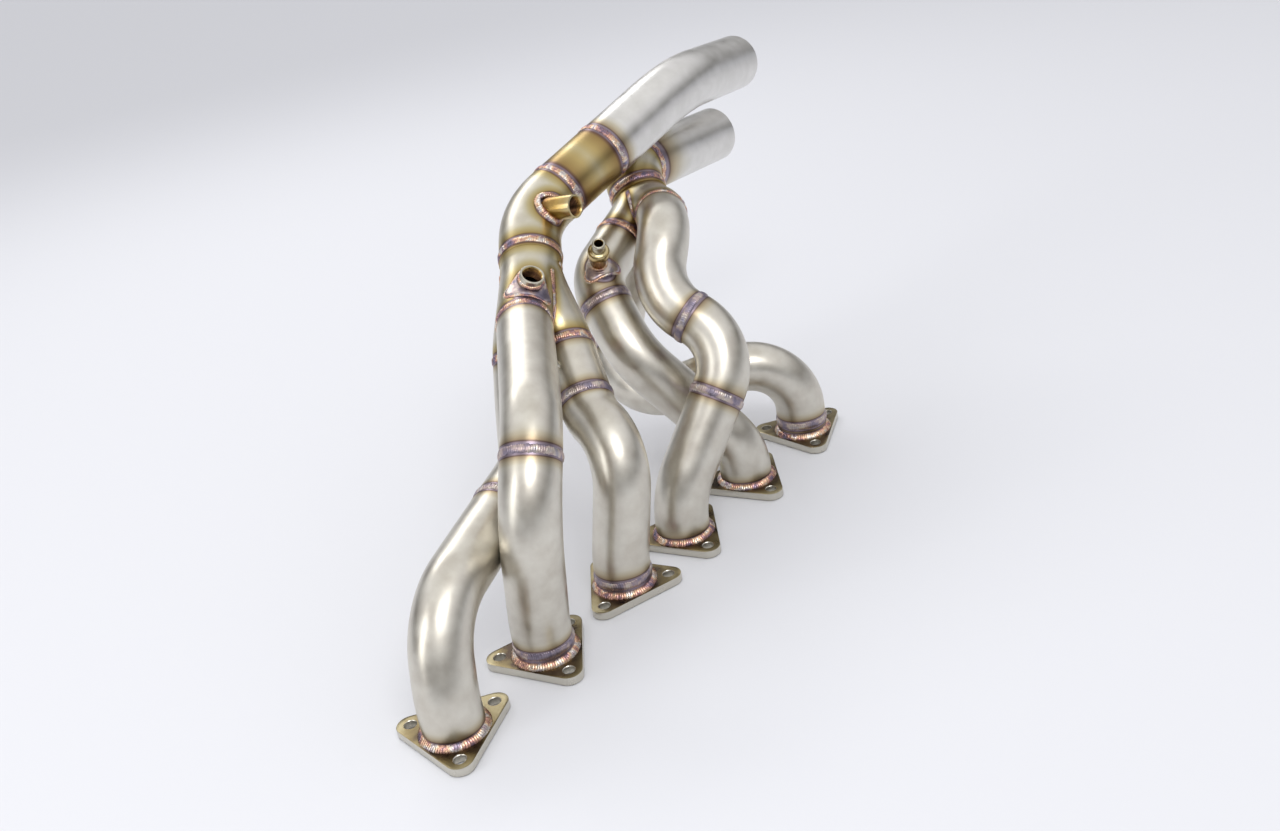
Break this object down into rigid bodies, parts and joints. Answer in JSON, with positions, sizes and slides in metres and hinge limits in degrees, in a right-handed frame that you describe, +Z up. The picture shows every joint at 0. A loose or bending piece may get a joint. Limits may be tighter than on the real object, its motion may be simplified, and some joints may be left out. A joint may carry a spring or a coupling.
{
  "type": "racing exhaust header",
  "caption": "Welded stainless racing exhaust header: bolted port flanges, bent primary tubes, merge collectors, sensor bungs and outlet pipes.",
  "frame": {"origin": "centre of port 1 on its gasket face", "axes": "+X along the row of ports towards the outlets, +Y to the collectors' side, +Z up, away from the gasket faces"},
  "size_m": [0.6472, 0.2167, 0.3159],
  "materials": {
    "tube_steel": "satin bead-blasted stainless steel",
    "collector_steel": "satin stainless steel with straw heat tint",
    "outlet_steel": "brushed stainless steel",
    "flange_steel": "ground stainless plate with gold heat tint",
    "weld_bead": "rippled weld metal, copper to purple",
    "turned_steel": "turned steel with amber heat tint"
  },
  "bodies": {
    "root": {"port_flange_1": "flange_steel", "port_flange_2": "flange_steel", "port_flange_3": "flange_steel", "port_flange_4": "flange_steel", "port_flange_5": "flange_steel", "port_flange_6": "flange_steel", "port_weld_1": "weld_bead", "port_weld_2": "weld_bead", "port_weld_3": "weld_bead", "port_weld_4": "weld_bead", "port_weld_5": "weld_bead", "port_weld_6": "weld_bead", "port_spigot_2": "tube_steel", "port_spigot_3": "tube_steel", "port_spigot_6": "tube_steel", "primary_1_lower": "tube_steel", "primary_1_upper": "tube_steel", "primary_2_lower": "tube_steel", "primary_2_upper": "tube_steel", "primary_3_lower": "tube_steel", "primary_3_upper": "tube_steel", "primary_4_lower": "tube_steel", "primary_4_middle": "tube_steel", "primary_4_upper": "tube_steel", "primary_5_lower": "tube_steel", "primary_5_upper": "tube_steel", "primary_6_lower": "tube_steel", "primary_6_middle": "tube_steel", "primary_6_upper": "tube_steel", "primary_1_weld": "weld_bead", "primary_2_welds": "weld_bead", "primary_3_welds": "weld_bead", "primary_4_welds": "weld_bead", "primary_5_weld": "weld_bead", "primary_6_welds": "weld_bead", "front_collector": "collector_steel", "rear_collector": "collector_steel", "front_collector_welds": "weld_bead", "rear_collector_welds": "weld_bead", "front_outlet_elbow": "outlet_steel", "front_outlet_link": "outlet_steel", "front_outlet_tail": "outlet_steel", "rear_outlet_elbow": "outlet_steel", "rear_outlet_tail": "outlet_steel", "front_outlet_welds": "weld_bead", "rear_outlet_weld": "weld_bead", "sensor_bung": "turned_steel", "bung_pad": "weld_bead", "probe_boss": "turned_steel", "probe_weld": "weld_bead", "pressure_adapter": "turned_steel", "adapter_pad": "weld_bead", "tie_rod": "tube_steel"}
  },
  "joints": []
}
